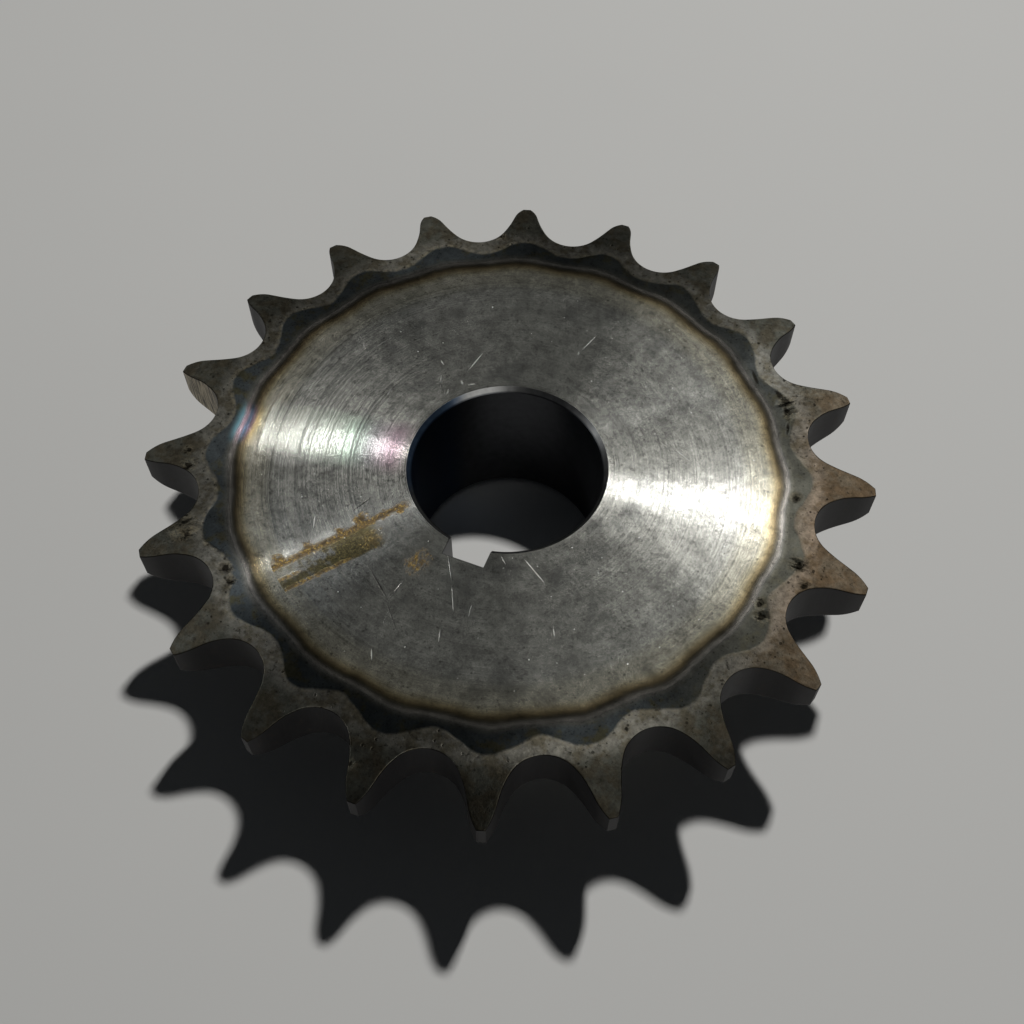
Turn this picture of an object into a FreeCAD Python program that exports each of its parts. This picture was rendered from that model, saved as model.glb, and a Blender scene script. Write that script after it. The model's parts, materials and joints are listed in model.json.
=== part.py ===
"""Roller chain sprocket with a hub on one side, a finished keyed bore and two set screws.

Frame: millimetres. The bore axis is Z. The hub's end face lies on z = 0 and the flat face of the
toothed plate is at the top. The keyway is centred on -Y, under the middle of one tooth.
The tooth form is the standard one for roller chain sprockets, built from the chain's pitch and
roller diameter.
"""
import FreeCAD, Part
import math
import os

import Sketcher
from FreeCAD import Placement, Rotation, Vector

DRIVING_DIMENSIONS = {
    "chain_pitch": 15.875,        # 5/8 in roller chain
    "roller_dia": 10.16,          # roller of that chain
    "teeth": 20,
    "plate_thick": 8.71,          # tooth width for that chain's inner link
    "seat_clearance": 0.0381,     # added to the roller's seat radius
    "side_arc_rate": 1.063,       # radius of the teeth's side arcs, in pitches
    "side_arc_reach": 0.5,        # depth of the side arcs below the tips, in pitches
    "bore_dia": 28.575,           # 1 1/8 in shaft
    "face_chamfer": 0.75,         # bore edge on the flat face
    "hub_chamfer": 1.0,           # bore edge and outer edge on the hub's end
    "key_width": 6.35,            # 1/4 in key
    "key_floor": 17.24,           # keyway's floor from the axis
    "hub_dia": 73.0,
    "length_through": 25.4,       # hub's end to the flat face
    "weld_leg": 4.0,
    "weld_arc": 4.6,              # radius of the bead's rounded face
    "screw_dia": 7.9375,          # 5/16 in set screw
    "screw_pitch": 1.4111,        # 18 threads to the inch
    "screw_length": 12.7,
    "screw_height": 7.9375,       # set screws' axis above the hub's end
    "screw_clearance": 0.06,      # all round the screw in its hole
    "screw_chamfer": 0.7,
    "cup_dia": 4.2,
    "cup_depth": 0.9,
    "point_length": 1.5,
    "socket_flats": 3.969,        # 5/32 in hexagon key
    "socket_depth": 4.0,
    "mouth_chamfer": 0.6,         # countersink of the set screw holes
    "key_screw_turns": 4,         # turns from rest until the screw presses on the key
    "side_screw_turns": 6,        # turns from rest until the screw presses on the shaft
}

OVERSHOOT = 5.0                   # how far a cutting outline runs past the metal


class Dim:
    """A length or count with its value now and the sheet expression that keeps it up to date."""

    def __init__(self, value, text):
        self.value = value
        self.text = text

    @staticmethod
    def of(other):
        return other if isinstance(other, Dim) else Dim(float(other), repr(float(other)))

    def _join(self, sign, other, value):
        return Dim(value, "({} {} {})".format(self.text, sign, other.text))

    def __add__(self, other):
        other = Dim.of(other)
        return self._join("+", other, self.value + other.value)

    def __sub__(self, other):
        other = Dim.of(other)
        return self._join("-", other, self.value - other.value)

    def __rsub__(self, other):
        return Dim.of(other) - self

    def __mul__(self, other):
        other = Dim.of(other)
        return self._join("*", other, self.value * other.value)

    def __truediv__(self, other):
        other = Dim.of(other)
        return self._join("/", other, self.value / other.value)

    def __rtruediv__(self, other):
        return Dim.of(other) / self

    def __neg__(self):
        return Dim(-self.value, "(0 - {})".format(self.text))

    __radd__ = __add__
    __rmul__ = __mul__


def sine(degrees):
    return Dim(math.sin(math.radians(degrees.value)), "sin({} * 1deg)".format(degrees.text))


def cosine(degrees):
    return Dim(math.cos(math.radians(degrees.value)), "cos({} * 1deg)".format(degrees.text))


def root(square):
    return Dim(math.sqrt(square.value), "sqrt({})".format(square.text))


def make_sheet(doc):
    """The spreadsheet of driving dimensions, and the same names as Dim values."""
    sheet = doc.addObject("Spreadsheet::Sheet", "dims")
    names = {}
    for row, (alias, value) in enumerate(DRIVING_DIMENSIONS.items(), start=1):
        sheet.set("A{}".format(row), alias)
        sheet.set("B{}".format(row), str(value))
        sheet.setAlias("B{}".format(row), alias)
        names[alias] = Dim(float(value), "dims.{}".format(alias))
    doc.recompute()
    return names


def bind(thing, path, dim):
    thing.setExpression(path, dim.text)


def new_body(doc, label):
    body = doc.addObject("PartDesign::Body", label)
    body.Label = label
    return body


def new_sketch(body, name, plane_role):
    sketch = body.newObject("Sketcher::SketchObject", name)
    plane = [item for item in body.Origin.OriginFeatures if item.Role == plane_role][0]
    sketch.AttachmentSupport = [(plane, "")]
    sketch.MapMode = "FlatFace"
    return sketch


def pin_vertex(sketch, edge, end, point):
    """Hold one end of an edge at a point given from the sketch's origin."""
    for kind, dim in (("DistanceX", point[0]), ("DistanceY", point[1])):
        index = sketch.addConstraint(Sketcher.Constraint(kind, -1, 1, edge, end, dim.value))
        bind(sketch, "Constraints[{}]".format(index), dim)


def draw_outline(sketch, points, arcs=None):
    """Closed outline through points; arcs maps an edge's number to its centre and radius."""
    points = [(Dim.of(x), Dim.of(y)) for x, y in points]
    arcs = arcs or {}
    ends = []
    for number, start in enumerate(points):
        stop = points[(number + 1) % len(points)]
        here = Vector(start[0].value, start[1].value, 0)
        there = Vector(stop[0].value, stop[1].value, 0)
        if number not in arcs:
            ends.append((sketch.addGeometry(Part.LineSegment(here, there)), 1, 2))
            continue
        centre_x, centre_y, radius = arcs[number]
        centre = Vector(Dim.of(centre_x).value, Dim.of(centre_y).value, 0)
        counter_clockwise = (here - centre).cross(there - centre).z > 0
        first, last = (here, there) if counter_clockwise else (there, here)
        circle = Part.Circle(centre, Vector(0, 0, 1), radius.value)
        edge = sketch.addGeometry(
            Part.ArcOfCircle(circle, circle.parameter(first), circle.parameter(last)))
        index = sketch.addConstraint(Sketcher.Constraint("Radius", edge, radius.value))
        bind(sketch, "Constraints[{}]".format(index), radius)
        ends.append((edge, 1, 2) if counter_clockwise else (edge, 2, 1))
    for number, (edge, first, _last) in enumerate(ends):
        before, _first, last = ends[number - 1]
        sketch.addConstraint(Sketcher.Constraint("Coincident", before, last, edge, first))
        pin_vertex(sketch, edge, first, points[number])


def revolve(body, sketch, name):
    feature = body.newObject("PartDesign::Revolution", name)
    feature.Profile = sketch
    feature.ReferenceAxis = (sketch, ["V_Axis"])
    feature.Angle = 360
    sketch.Visibility = False
    return feature


def cut_through(body, sketch, name):
    """Cut a sketch on the body's XY plane right through everything above that plane."""
    feature = body.newObject("PartDesign::Pocket", name)
    feature.Profile = sketch
    feature.Type = "ThroughAll"
    feature.Reversed = True
    return feature


def keyway(body, d):
    """Square-bottomed keyway on -Y, open to the bore."""
    sketch = new_sketch(body, body.Label + "_keyway_sketch", "XY_Plane")
    half = d["key_width"] / 2
    inner = -(d["bore_dia"] / 4)
    floor = -d["key_floor"]
    draw_outline(sketch, [(-half, floor), (half, floor), (half, inner), (-half, inner)])
    return cut_through(body, sketch, body.Label + "_keyway")


def tooth_gap(sketch, d):
    """Outline of the gap between two teeth, centred on +Y.

    Each side runs from the roller's seat through the working curve and a short straight to the
    topping curve, and the topping curves of neighbouring gaps would meet in a point over the tooth.
    """
    roller = d["roller_dia"]
    teeth = d["teeth"]
    half_pitch_angle = 180 / teeth
    pitch_radius = d["chain_pitch"] / 2 / sine(half_pitch_angle)
    seat_radius = roller * 0.5025 + d["seat_clearance"]
    seat_angle = 60 / teeth + 35
    work_end_angle = 116 / teeth + 17
    work_radius = roller * 1.3025 + d["seat_clearance"]
    work_x = -(roller * 0.8 * cosine(seat_angle))
    work_y = roller * 0.8 * sine(seat_angle)
    straight = roller * (1.4 * sine(17 - 64 / teeth) - 0.8 * sine(18 - 56 / teeth))
    top_x = roller * 1.4 * cosine(half_pitch_angle)
    top_y = -(roller * 1.4 * sine(half_pitch_angle))
    top_radius = (roller * (0.8 * cosine(18 - 56 / teeth) + 1.4 * cosine(17 - 64 / teeth) - 1.3025)
                  - d["seat_clearance"])
    tip_base = roller * 1.4 - d["chain_pitch"] / 2
    tip_rise = root(top_radius * top_radius - tip_base * tip_base)
    tip_radius = d["chain_pitch"] / 2 * cosine(half_pitch_angle) / sine(half_pitch_angle) + tip_rise

    seat_end = (seat_radius * cosine(seat_angle), pitch_radius - seat_radius * sine(seat_angle))
    work_end = (work_x + work_radius * cosine(work_end_angle),
                pitch_radius + work_y - work_radius * sine(work_end_angle))
    straight_end = (work_end[0] + straight * sine(work_end_angle),
                    work_end[1] + straight * cosine(work_end_angle))
    tip = (tip_radius * sine(half_pitch_angle), tip_radius * cosine(half_pitch_angle))

    right = [seat_end, work_end, straight_end, tip]
    left = [(-x, y) for x, y in reversed(right)]
    zero = Dim.of(0)
    draw_outline(sketch, left + right, {
        0: (-top_x, pitch_radius + top_y, top_radius),
        2: (-work_x, pitch_radius + work_y, work_radius),
        3: (zero, pitch_radius, seat_radius),
        4: (work_x, pitch_radius + work_y, work_radius),
        6: (top_x, pitch_radius + top_y, top_radius),
        7: (zero, zero, tip_radius),
    })


def outside_radius(d):
    half_pitch_angle = 180 / d["teeth"]
    return d["chain_pitch"] * (0.6 + cosine(half_pitch_angle) / sine(half_pitch_angle)) / 2


def toothed_plate(doc, d):
    """Steel disc with the teeth, whose sides are rounded towards the tips."""
    body = new_body(doc, "toothed_plate")
    section = new_sketch(body, "plate_section", "XZ_Plane")
    bore = d["bore_dia"] / 2
    tip = outside_radius(d)
    thick = d["plate_thick"]
    arc_start = tip - d["chain_pitch"] * d["side_arc_reach"]
    arc_radius = d["chain_pitch"] * d["side_arc_rate"]
    reach = tip - arc_start
    inset = arc_radius - root(arc_radius * arc_radius - reach * reach)
    draw_outline(section, [
        (bore, 0), (arc_start, 0), (tip, inset), (tip, thick - inset), (arc_start, thick),
        (bore + d["face_chamfer"], thick), (bore, thick - d["face_chamfer"]),
    ], {1: (arc_start, arc_radius, arc_radius), 3: (arc_start, thick - arc_radius, arc_radius)})
    revolve(body, section, "plate_blank")

    gap_sketch = new_sketch(body, "gap_sketch", "XY_Plane")
    tooth_gap(gap_sketch, d)
    gap_sketch.AttachmentOffset = Placement(Vector(), Rotation(Vector(0, 0, 1), 180 / d["teeth"].value))
    bind(gap_sketch, "AttachmentOffset.Rotation.Angle", 180 / d["teeth"])
    gap = cut_through(body, gap_sketch, "gap")
    doc.recompute()

    pattern = body.newObject("PartDesign::PolarPattern", "gaps")
    pattern.Originals = [gap]
    pattern.Axis = (gap_sketch, ["N_Axis"])
    pattern.Angle = 360
    bind(pattern, "Occurrences", d["teeth"])
    body.Tip = pattern
    doc.recompute()

    keyway(body, d)
    bind(body, "Placement.Base.z", d["length_through"] - thick)
    return body


def screw_hole(body, d, name, plane_role, side):
    """Radial hole for a set screw with a countersunk mouth, cut on one side of the axis."""
    sketch = new_sketch(body, name + "_sketch", plane_role)
    height = d["screw_height"]
    radius = d["screw_dia"] / 2 + d["screw_clearance"]
    outer = d["hub_dia"] / 2
    start = d["bore_dia"] / 4
    stop = outer + OVERSHOOT
    chamfer = d["mouth_chamfer"]
    axis = sketch.addGeometry(Part.LineSegment(
        Vector(side * start.value, height.value, 0), Vector(side * stop.value, height.value, 0)), True)
    pin_vertex(sketch, axis, 1, (side * start, height))
    pin_vertex(sketch, axis, 2, (side * stop, height))
    draw_outline(sketch, [
        (side * start, height), (side * stop, height),
        (side * stop, height + radius + chamfer + OVERSHOOT),
        (side * (outer - chamfer), height + radius), (side * start, height + radius),
    ])
    hole = body.newObject("PartDesign::Groove", name)
    hole.Profile = sketch
    hole.ReferenceAxis = (sketch, ["Axis0"])
    hole.Angle = 360
    return hole


def hub(doc, d):
    """Turned boss under the plate, with the rest of the bore, the keyway and two tapped holes."""
    body = new_body(doc, "hub")
    section = new_sketch(body, "hub_section", "XZ_Plane")
    bore = d["bore_dia"] / 2
    outer = d["hub_dia"] / 2
    top = d["length_through"] - d["plate_thick"]
    chamfer = d["hub_chamfer"]
    draw_outline(section, [
        (bore + chamfer, 0), (outer - chamfer, 0), (outer, chamfer),
        (outer, top), (bore, top), (bore, chamfer),
    ])
    revolve(body, section, "hub_blank")
    keyway(body, d)
    screw_hole(body, d, "key_screw_hole", "YZ_Plane", -1)
    screw_hole(body, d, "side_screw_hole", "XZ_Plane", 1)
    return body


def weld_bead(doc, d):
    """Ring of weld metal in the corner between the hub and the plate's back."""
    body = new_body(doc, "weld_bead")
    section = new_sketch(body, "bead_section", "XZ_Plane")
    corner_x = d["hub_dia"] / 2
    corner_y = d["length_through"] - d["plate_thick"]
    leg = d["weld_leg"]
    half_chord = leg * 0.5
    sagitta_side = root(d["weld_arc"] * d["weld_arc"] - leg * leg * 0.5) * math.sqrt(0.5)
    draw_outline(section, [
        (corner_x, corner_y - leg), (corner_x + leg, corner_y), (corner_x, corner_y),
    ], {0: (corner_x + half_chord - sagitta_side, corner_y - half_chord + sagitta_side,
            d["weld_arc"])})
    revolve(body, section, "bead_ring")
    return body


def set_screw(doc, d, label, stop_radius, turns):
    """Cup-point socket set screw along its own Z, with the socket's end at the origin.

    At rest it is the given number of turns away from where its point presses on something.
    Returns the body and the distance of its outer end from the bore axis.
    """
    body = new_body(doc, label)
    section = new_sketch(body, label + "_section", "XZ_Plane")
    radius = d["screw_dia"] / 2
    length = d["screw_length"]
    chamfer = d["screw_chamfer"]
    cup = d["cup_dia"] / 2
    draw_outline(section, [
        (0, 0), (radius - chamfer, 0), (radius, -chamfer), (radius, d["point_length"] - length),
        (cup, -length), (0, d["cup_depth"] - length),
    ])
    revolve(body, section, label + "_blank")

    socket = new_sketch(body, label + "_socket_sketch", "XY_Plane")
    corner = d["socket_flats"] / math.sqrt(3)
    half_flats = d["socket_flats"] / 2
    draw_outline(socket, [
        (corner, 0), (corner / 2, half_flats), (-(corner / 2), half_flats),
        (-corner, 0), (-(corner / 2), -half_flats), (corner / 2, -half_flats),
    ])
    pocket = body.newObject("PartDesign::Pocket", label + "_socket")
    pocket.Profile = socket
    bind(pocket, "Length", d["socket_depth"])
    return body, stop_radius + turns * d["screw_pitch"] + length


def set_screws(doc, d):
    """One screw over the keyway, pointing at the key, and one a quarter turn away."""
    key_screw, key_reach = set_screw(
        doc, d, "set_screw_key", d["key_floor"], d["key_screw_turns"])
    key_screw.Placement = Placement(Vector(), Rotation(Vector(1, 0, 0), 90))
    bind(key_screw, "Placement.Base.y", -key_reach)
    side_screw, side_reach = set_screw(
        doc, d, "set_screw_side", d["bore_dia"] / 2, d["side_screw_turns"])
    side_screw.Placement = Placement(Vector(), Rotation(Vector(0, 1, 0), 90))
    bind(side_screw, "Placement.Base.x", side_reach)
    for screw in (key_screw, side_screw):
        bind(screw, "Placement.Base.z", d["screw_height"])
    return [key_screw, side_screw]


def check(doc, bodies):
    """Stop on any failed object and on any sub-part that isn't one valid solid."""
    for item in doc.Objects:
        failed = [state for state in item.State if state in ("Invalid", "Error")]
        if failed:
            raise RuntimeError("{} is {}".format(item.Name, failed))
        if item.isDerivedFrom("Sketcher::SketchObject") and item.solve() != 0:
            raise RuntimeError("{} can't be solved".format(item.Name))
    for body in bodies:
        shape = body.Shape
        if shape.isNull() or not shape.isValid() or len(shape.Solids) != 1:
            raise RuntimeError("{} isn't one valid solid".format(body.Label))


def main():
    doc = FreeCAD.newDocument("sprocket")
    d = make_sheet(doc)
    bodies = [toothed_plate(doc, d), hub(doc, d), weld_bead(doc, d)] + set_screws(doc, d)
    doc.recompute()
    check(doc, bodies)
    os.makedirs("parts", exist_ok=True)
    for body in bodies:
        body.Shape.exportStep(os.path.join("parts", body.Label + ".step"))
        box = body.Shape.BoundBox
        print("{:15s} volume {:10.1f}  x {:.3f}..{:.3f}  y {:.3f}..{:.3f}  z {:.3f}..{:.3f}".format(
            body.Label, body.Shape.Volume,
            box.XMin, box.XMax, box.YMin, box.YMax, box.ZMin, box.ZMax))


main()
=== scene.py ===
"""Looks of the roller chain sprocket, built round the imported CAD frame.

Everything is in metres in the CAD's own frame: the bore axis is Z, the hub stands on z = 0, the
toothed plate is on top and the keyway is on -Y. Materials work in millimetres.
"""

import json
import math

import bmesh
import bpy
import numpy as np
from mathutils import Matrix, Vector


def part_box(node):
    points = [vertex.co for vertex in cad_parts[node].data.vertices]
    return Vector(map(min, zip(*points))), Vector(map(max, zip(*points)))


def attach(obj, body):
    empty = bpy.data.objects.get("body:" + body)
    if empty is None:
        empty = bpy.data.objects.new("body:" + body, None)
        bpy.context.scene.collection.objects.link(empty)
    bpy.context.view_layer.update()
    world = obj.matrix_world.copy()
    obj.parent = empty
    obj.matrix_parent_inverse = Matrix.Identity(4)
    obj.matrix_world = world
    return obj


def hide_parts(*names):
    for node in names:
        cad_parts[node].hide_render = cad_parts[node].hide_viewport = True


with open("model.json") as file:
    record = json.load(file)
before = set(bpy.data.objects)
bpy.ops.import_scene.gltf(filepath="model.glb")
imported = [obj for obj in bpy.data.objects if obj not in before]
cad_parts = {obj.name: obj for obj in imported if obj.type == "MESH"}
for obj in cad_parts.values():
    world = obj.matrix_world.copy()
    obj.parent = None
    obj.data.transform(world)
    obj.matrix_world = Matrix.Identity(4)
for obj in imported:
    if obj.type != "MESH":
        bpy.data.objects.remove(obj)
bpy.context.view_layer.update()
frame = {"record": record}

MM = 0.001
MOUNTS = {mount["name"]: mount for mount in frame["record"]["mounts"]}
PLATE_LOW, PLATE_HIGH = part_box("toothed_plate")
_, HUB_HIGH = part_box("hub")
_, BEAD_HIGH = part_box("weld_bead")

# Tooth form of the standard for roller chain sprockets, from the chain's pitch and roller.
TEETH = 20
CHAIN_PITCH = 15.875 * MM
ROLLER = 10.16 * MM
SEAT_CLEARANCE = 0.0381 * MM
HALF_STEP = math.pi / TEETH
PITCH_RADIUS = CHAIN_PITCH / 2 / math.sin(HALF_STEP)
SEAT_RADIUS = 0.5025 * ROLLER + SEAT_CLEARANCE
TIP_RADIUS = PLATE_HIGH.x
SIDE_ARC = 1.063 * CHAIN_PITCH
SIDE_ARC_START = TIP_RADIUS - 0.5 * CHAIN_PITCH
PLATE_TOP, PLATE_BACK = PLATE_HIGH.z, PLATE_LOW.z

BORE_RADIUS = MOUNTS["shaft_bore"]["dims"]["r_mm"] * MM
FACE_CHAMFER = 0.75 * MM
HUB_CHAMFER = 1.0 * MM
KEY_HALF = 3.175 * MM
KEY_FLOOR = -MOUNTS["keyway_slot"]["pos_m"][1]
KEY_SIDE = -math.pi / 2
HUB_RADIUS = HUB_HIGH.y
EDGE_BREAK = 0.14 * MM
RIM_RADIUS = 37.6 * MM

# Set screws, 5/16 in with 18 threads to the inch.
SCREW_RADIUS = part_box("set_screw_key")[1].x
SCREW_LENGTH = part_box("set_screw_key")[1].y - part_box("set_screw_key")[0].y
SCREW_HEIGHT = (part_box("set_screw_key")[0].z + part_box("set_screw_key")[1].z) / 2
THREAD_PITCH = 1.4111 * MM
THREAD_DEPTH = 0.613 * THREAD_PITCH
THREAD_GAP = 0.05 * MM
SOCKET_FLATS = 3.969 * MM
SOCKET_DEPTH = 4.0 * MM

# Materials of the toothed plate and of the hub, in the order in which dress() gives them.
FACE, RIM, BORE, CUT = range(4)
HUB_BODY, HUB_BORE = range(2)

# Marks on the flat face: ends in millimetres, half width, strength.
SCRATCHES = [
    (-11.4, 19.1, -12.4, 14.1, 0.10, 0.8), (-12.7, 12.6, -11.9, 11.6, 0.22, 0.5),
    (-11.4, 11.9, -10.0, 12.7, 0.20, 0.5), (-13.7, 10.2, -13.6, 9.1, 0.14, 0.9),
    (-15.8, 12.4, -15.4, 10.6, 0.12, 0.6), (-17.2, 15.0, -16.2, 14.2, 0.10, 0.6),
    (-22.0, 7.3, -22.1, 5.2, 0.08, 0.5), (2.6, 24.1, 4.2, 29.1, 0.06, 0.5),
    (2.5, 24.5, 2.7, 23.7, 0.12, 0.9), (22.4, 12.0, 25.2, 10.7, 0.07, 0.6),
    (7.8, -13.7, 12.5, -16.7, 0.08, 0.8), (4.6, -14.4, 6.2, -15.9, 0.06, 0.6),
    (0.0, -21.2, 2.3, -26.0, 0.07, 0.8), (-2.4, -16.9, 0.1, -21.3, 0.10, 0.9),
    (3.9, -23.2, 4.3, -25.6, 0.06, 0.8), (-22.9, -17.8, -22.0, -20.5, 0.07, 0.7),
    (-6.3, -34.5, -5.3, -36.5, 0.07, 0.7), (15.7, -22.5, 16.5, -24.0, 0.07, 0.5),
    (1.2, -28.0, 2.1, -31.0, 0.05, 0.4), (-28.3, 12.6, -25.9, 16.9, 0.05, 0.35),
]
GOUGES = [
    (15.3, 14.9, 17.6, 12.3, 0.09, 0.7), (-16.4, -12.2, -18.3, -15.9, 0.12, 0.7),
    (-12.2, -22.9, -7.2, -27.0, 0.16, 0.7), (-7.2, -27.2, -6.4, -23.0, 0.10, 0.5),
    (-7.6, -27.0, -3.9, -31.2, 0.10, 0.4), (4.0, 38.2, 4.9, 37.4, 0.16, 0.7),
]
CRACKS = [
    (28.7, 31.2, 30.8, 28.0, 0.40, 0.8), (33.0, 28.7, 35.4, 26.6, 0.55, 0.9),
    (35.4, 26.6, 36.7, 23.4, 0.60, 0.9), (36.7, 23.4, 37.2, 20.8, 0.30, 0.8),
]

# Pits and beads of slag at the roots of the teeth: place, radius and height, in millimetres.
CRATERS = [
    (44.7, -0.6, 0.75, -0.22), (46.3, -3.6, 0.55, -0.15), (42.0, -10.4, 0.60, -0.20),
    (41.2, -8.6, 0.45, -0.16), (36.7, 24.9, 0.55, 0.16), (35.4, 26.9, 0.70, -0.22),
    (41.4, 10.4, 0.50, -0.16), (-39.6, -26.8, 1.10, 0.18), (-38.6, -27.9, 0.45, -0.15),
    (-30.9, -30.7, 0.60, -0.25), (-29.3, -32.4, 0.50, -0.20), (-44.3, -17.0, 0.65, -0.18),
    (-45.6, -14.6, 0.45, -0.12), (29.9, -33.0, 0.40, -0.12), (-2.0, -50.6, 0.45, -0.10),
    (31.8, 36.0, 0.50, -0.12), (-18.3, 43.0, 0.50, -0.10), (9.2, -46.4, 0.40, -0.10),
]

# Rust: a streak from the bore to the ring, with clumps along it, and a smear beside it.
RUST_START = (-10.4, -10.4)
RUST_HEADING = (-0.618, -0.786)
RUST_CLUMPS = [
    (-11.9, -12.8, 0.8), (-13.6, -14.4, 0.9), (-16.3, -16.4, 1.5), (-18.3, -19.4, 0.8),
    (-21.3, -23.8, 1.3), (-24.4, -26.8, 1.2), (-26.1, -29.6, 1.1), (-23.4, -31.2, 0.7),
]
RUST_SMEARS = [(-5.3, -16.8, -6.4, -23.2, 1.5, 0.9), (-10.9, -19.4, -15.6, -17.6, 1.9, 0.5)]

# Radii of the dark temper line and of the arches beyond it, in millimetres.
TEMPER_LINE = 40.35
ARCH_LINE = 44.0

# Heights in millimetres over which the marks of the upper side fade in.
FACE_BAND = (24.0, 24.3)
TEETH_BAND = (23.0, 23.3)

# The turning marks: their distance in millimetres and how far they tilt the surface.
GROOVE_PITCH = 0.006
GROOVE_TILT = 0.25

# Lights on the object: name, azimuth, elevation, spread, strength and colour.
OBJECT_LIGHTS = [
    ("low_right_fill", 130.0, 50.0, 30.0, 0.96, (1.0, 1.0, 0.95)),
    ("right_fill", 25.0, 50.0, 24.0, 0.31, (1.0, 1.0, 0.95)),
    ("high_fill", 4.0, 62.0, 40.0, 0.11, (0.98, 1.0, 0.92)),
    ("left_fill", -84.0, 52.0, 20.0, 0.045, (0.80, 0.90, 1.0)),
    ("left_strip", -92.0, 44.0, 2.0, 0.18, (1.0, 1.0, 0.96)),
    ("left_spot", -100.0, 36.0, 2.0, 0.40, (0.97, 1.0, 1.0)),
    ("far_strip", 4.0, 56.0, 3.0, 0.155, (1.0, 1.0, 0.97)),
    ("far_glow", -4.0, 48.0, 10.0, 0.04, (1.0, 1.0, 0.95)),
    ("far_lamp", 6.0, 64.0, 10.0, 0.035, (1.0, 1.0, 0.95)),
]


# ---------------------------------------------------------------- meshes

def add_object(name, vertices, faces, smooth_below=math.radians(35)):
    """A smooth-shaded mesh object whose edges stay sharp where it turns by more than an angle.

    The faces of a closed mesh are turned to look outwards.
    """
    mesh = bpy.data.meshes.new(name)
    mesh.from_pydata([tuple(v) for v in vertices], [], faces)
    mesh.update()
    solid = bmesh.new()
    solid.from_mesh(mesh)
    if solid.calc_volume(signed=True) < 0:
        mesh.flip_normals()
    solid.free()
    mesh.polygons.foreach_set("use_smooth", [True] * len(mesh.polygons))
    mesh.set_sharp_from_angle(angle=smooth_below)
    thing = bpy.data.objects.new(name, mesh)
    bpy.context.scene.collection.objects.link(thing)
    return thing


def ring_faces(columns, rows):
    """Quads of a closed ring of columns, each a closed loop of rows points."""
    faces = []
    for column in range(columns):
        after = (column + 1) % columns
        for row in range(rows):
            above = (row + 1) % rows
            faces.append((column * rows + row, after * rows + row,
                          after * rows + above, column * rows + above))
    return faces


def capped_faces(columns, rows):
    """Quads of a ring of open columns, closed at both ends by a pole each."""
    first_pole, last_pole = columns * rows, columns * rows + 1
    faces = []
    for column in range(columns):
        after = (column + 1) % columns
        for row in range(rows - 1):
            faces.append((column * rows + row, after * rows + row,
                          after * rows + row + 1, column * rows + row + 1))
        faces.append((first_pole, after * rows, column * rows))
        faces.append((last_pole, column * rows + rows - 1, after * rows + rows - 1))
    return faces


def arc(centre, radius, start, stop, count):
    """Points on an arc, both ends included."""
    angles = np.linspace(start, stop, count)
    return np.stack([centre[0] + radius * np.cos(angles), centre[1] + radius * np.sin(angles)], 1)


def half_gap():
    """Outline from the bottom of a tooth gap to the middle of a tooth, the gap's axis on +Y."""
    seat_angle = math.radians(35 + 60 / TEETH)
    work_angle = math.radians(18 - 56 / TEETH)
    end_angle = math.radians(17 + 116 / TEETH)
    top_angle = math.radians(17 - 64 / TEETH)
    work_centre = (-0.8 * ROLLER * math.cos(seat_angle),
                   PITCH_RADIUS + 0.8 * ROLLER * math.sin(seat_angle))
    top_centre = (1.4 * ROLLER * math.cos(HALF_STEP),
                  PITCH_RADIUS - 1.4 * ROLLER * math.sin(HALF_STEP))
    top_radius = (ROLLER * (0.8 * math.cos(work_angle) + 1.4 * math.cos(top_angle) - 1.3025)
                  - SEAT_CLEARANCE)
    work_radius = 1.3025 * ROLLER + SEAT_CLEARANCE
    seat = arc((0, PITCH_RADIUS), SEAT_RADIUS, -math.pi / 2, -seat_angle, 13)
    work = arc(work_centre, work_radius, -seat_angle, -end_angle, 9)
    top = arc(top_centre, top_radius, math.pi - end_angle, math.pi - end_angle - 0.6, 400)
    top = top[np.hypot(top[:, 0], top[:, 1]) < TIP_RADIUS]
    top = top[np.linspace(0, len(top) - 1, 9).astype(int)]
    edge = math.atan2(top[-1][0], top[-1][1])
    land = [(TIP_RADIUS * math.sin(a), TIP_RADIUS * math.cos(a))
            for a in np.linspace(edge, HALF_STEP, 4)[1:]]
    return np.vstack([seat, work[1:], top, land])


def tooth_outline():
    """The whole outline, anticlockwise from the middle of the tooth on -Y."""
    half = half_gap()
    mirrored = half[::-1] * (-1, 1)
    gap = np.vstack([mirrored, half[1:-1]])
    turns = []
    for number in range(TEETH):
        middle = KEY_SIDE + (2 * number + 1) * HALF_STEP
        outward = np.array([math.cos(middle), math.sin(middle)])
        along = np.array([-math.sin(middle), math.cos(middle)])
        turns.append(gap[:, :1] * along + gap[:, 1:] * outward)
    return np.vstack(turns)


def offset_inwards(outline, distance):
    """A closed anticlockwise outline moved inwards by a small distance."""
    along = np.roll(outline, -1, 0) - np.roll(outline, 1, 0)
    along /= np.linalg.norm(along, axis=1)[:, None]
    inward = np.stack([-along[:, 1], along[:, 0]], 1)
    return outline + inward * distance


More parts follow.
